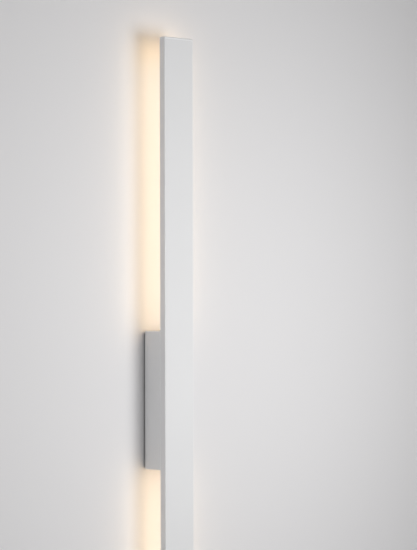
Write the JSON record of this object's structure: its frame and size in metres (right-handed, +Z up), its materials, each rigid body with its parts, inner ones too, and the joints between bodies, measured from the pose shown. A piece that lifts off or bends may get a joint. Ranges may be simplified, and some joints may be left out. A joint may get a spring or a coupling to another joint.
{
  "type": "tube wall light",
  "caption": "Slim upright wall light: a flat white bar held off the wall by a matching box, shining warm light back on the wall above and below.",
  "frame": {"origin": "centre of the wall plate's back face, in the wall plane", "axes": "+Z up along the bar, +X to the right seen from the front, +Y into the wall"},
  "size_m": [0.048, 0.04, 0.9],
  "materials": {
    "white_powder_coat": "matt white powder coat with a very fine texture",
    "black_powder_coat": "matt black powder coat",
    "zinc_plated_steel": "bright zinc plate",
    "stainless_steel": "satin stainless steel",
    "opal_acrylic": "satin opal acrylic, lit warm white",
    "white_solder_mask": "satin white solder mask on aluminium board",
    "led_phosphor": "yellow phosphor in a clear resin",
    "heat_tape": "dull grey heat-conducting tape",
    "black_rubber": "dull black rubber",
    "white_nylon": "matt natural white nylon",
    "brass": "bright turned brass",
    "driver_case": "matt pale grey flame-retardant plastic",
    "green_board": "satin green solder mask",
    "coil_tape": "matt yellow winding tape over a dark core",
    "capacitor_sleeve": "glossy dark shrink sleeve",
    "brown_insulation": "satin brown insulation",
    "blue_insulation": "satin blue insulation",
    "earth_insulation": "satin green and yellow insulation",
    "red_insulation": "satin red insulation",
    "black_insulation": "satin black insulation"
  },
  "bodies": {
    "root": {"bar_profile": "white_powder_coat", "top_end_cap": "white_powder_coat", "bottom_end_cap": "white_powder_coat", "end_cap_screws": "stainless_steel", "upper_diffuser": "opal_acrylic", "lower_diffuser": "opal_acrylic", "upper_led_board": "white_solder_mask", "lower_led_board": "white_solder_mask", "upper_leds": "led_phosphor", "lower_leds": "led_phosphor", "upper_board_tape": "heat_tape", "lower_board_tape": "heat_tape", "upper_board_connector": "white_nylon", "lower_board_connector": "white_nylon", "clamp_slider": "zinc_plated_steel", "clamp_screws": "zinc_plated_steel", "clamp_washers": "zinc_plated_steel", "bar_grommet": "black_rubber", "box_housing": "white_powder_coat", "housing_screws": "stainless_steel", "wall_plate": "black_powder_coat", "cable_grommet": "black_rubber", "earth_lug": "brass", "earth_washer": "zinc_plated_steel", "earth_screw": "zinc_plated_steel", "terminal_block": "white_nylon", "terminal_clamps": "brass", "terminal_screws": "zinc_plated_steel", "terminal_block_screws": "zinc_plated_steel", "driver_base": "driver_case", "driver_cover": "driver_case", "driver_board": "green_board", "driver_transformer": "coil_tape", "driver_input_capacitor": "capacitor_sleeve", "driver_output_capacitor": "capacitor_sleeve", "driver_screws": "zinc_plated_steel", "lamp_plug": "white_nylon", "lamp_socket": "white_nylon", "live_wire": "brown_insulation", "neutral_wire": "blue_insulation", "earth_wire": "earth_insulation", "output_positive_wire": "red_insulation", "output_negative_wire": "black_insulation", "lead_positive_wire": "red_insulation", "lead_negative_wire": "black_insulation", "link_positive_wire": "red_insulation", "link_negative_wire": "black_insulation"}
  },
  "joints": []
}
